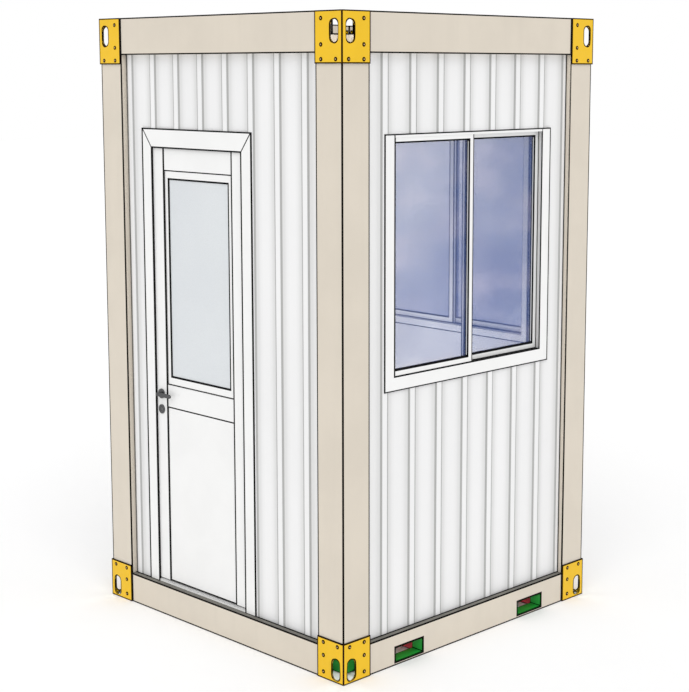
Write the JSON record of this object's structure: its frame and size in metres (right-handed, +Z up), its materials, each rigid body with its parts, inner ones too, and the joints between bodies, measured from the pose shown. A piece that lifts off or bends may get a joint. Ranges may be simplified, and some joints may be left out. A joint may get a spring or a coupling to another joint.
{
  "type": "security guard booth",
  "caption": "Flat-roofed one-person guard cabin: steel frame with slotted corner fittings, ribbed sandwich walls, sliding windows, an inward door with a lever, fork pockets in the base.",
  "frame": {"origin": "middle of the footprint, on the ground", "axes": "+Z up, the door faces -Y, the wall to the right of the door faces +X"},
  "size_m": [1.51, 1.51, 2.577],
  "materials": {
    "frame_paint": "satin beige paint",
    "fitting_paint": "satin yellow paint",
    "bracket_paint": "satin green paint",
    "joist_paint": "red primer",
    "panel_paint": "satin white coil coating",
    "trim_white": "satin white powder coat",
    "flashing": "matt dark grey",
    "floor_sheet": "sealed board",
    "window_glass": "clear, with a blue tint",
    "door_glass": "frosted",
    "handle_metal": "dark satin",
    "hinge_steel": "zinc plated"
  },
  "bodies": {
    "booth": {"back_wall_beside_window": "panel_paint", "back_wall_over_and_under_window": "panel_paint", "back_window_frame": "trim_white", "back_window_glass": "window_glass", "back_window_sashes": "trim_white", "base_flashing": "flashing", "bottom_beam_back": "frame_paint", "bottom_beam_front": "frame_paint", "bottom_beam_left": "frame_paint", "bottom_beam_right": "frame_paint", "bottom_corner_fittings": "fitting_paint", "corner_post_back_left": "frame_paint", "corner_post_back_right": "frame_paint", "corner_post_front_left": "frame_paint", "corner_post_front_right": "frame_paint", "door_casing": "trim_white", "door_frame": "trim_white", "door_hinges_on_frame": "hinge_steel", "door_threshold": "trim_white", "floor_board": "floor_sheet", "floor_joists": "joist_paint", "foot_brackets": "bracket_paint", "fork_sleeves_left": "bracket_paint", "fork_sleeves_right": "bracket_paint", "front_wall_left": "panel_paint", "front_wall_over_door": "panel_paint", "front_wall_right": "panel_paint", "left_wall_beside_window": "panel_paint", "left_wall_over_and_under_window": "panel_paint", "left_window_frame": "trim_white", "left_window_glass": "window_glass", "left_window_sashes": "trim_white", "right_wall_beside_window": "panel_paint", "right_wall_over_and_under_window": "panel_paint", "right_window_frame": "trim_white", "right_window_glass": "window_glass", "right_window_sashes": "trim_white", "roof_panel": "panel_paint", "top_beam_back": "frame_paint", "top_beam_front": "frame_paint", "top_beam_left": "frame_paint", "top_beam_right": "frame_paint", "top_corner_fittings": "fitting_paint"},
    "door_leaf": {"door_leaf_frame": "trim_white", "door_leaf_panel": "trim_white", "door_glazing_bead": "trim_white", "door_glass": "door_glass", "door_handle_plates": "handle_metal", "door_hinges_on_leaf": "hinge_steel"},
    "door_lever": {"door_lever": "handle_metal"}
  },
  "joints": [
    {"name": "door_swing", "type": "hinge", "parent": "booth", "child": "door_leaf", "pos_m": [0.16475, -0.663, 1.1], "axis": [0, 0, -1], "range_deg": [0, 95]},
    {"name": "lever_turn", "type": "hinge", "parent": "door_leaf", "child": "door_lever", "pos_m": [-0.4035, -0.721, 0.976], "axis": [0, 1, 0], "range_deg": [0, 45], "stiffness_Nm_per_rad": 1.5, "springref_deg": -22.92}
  ]
}
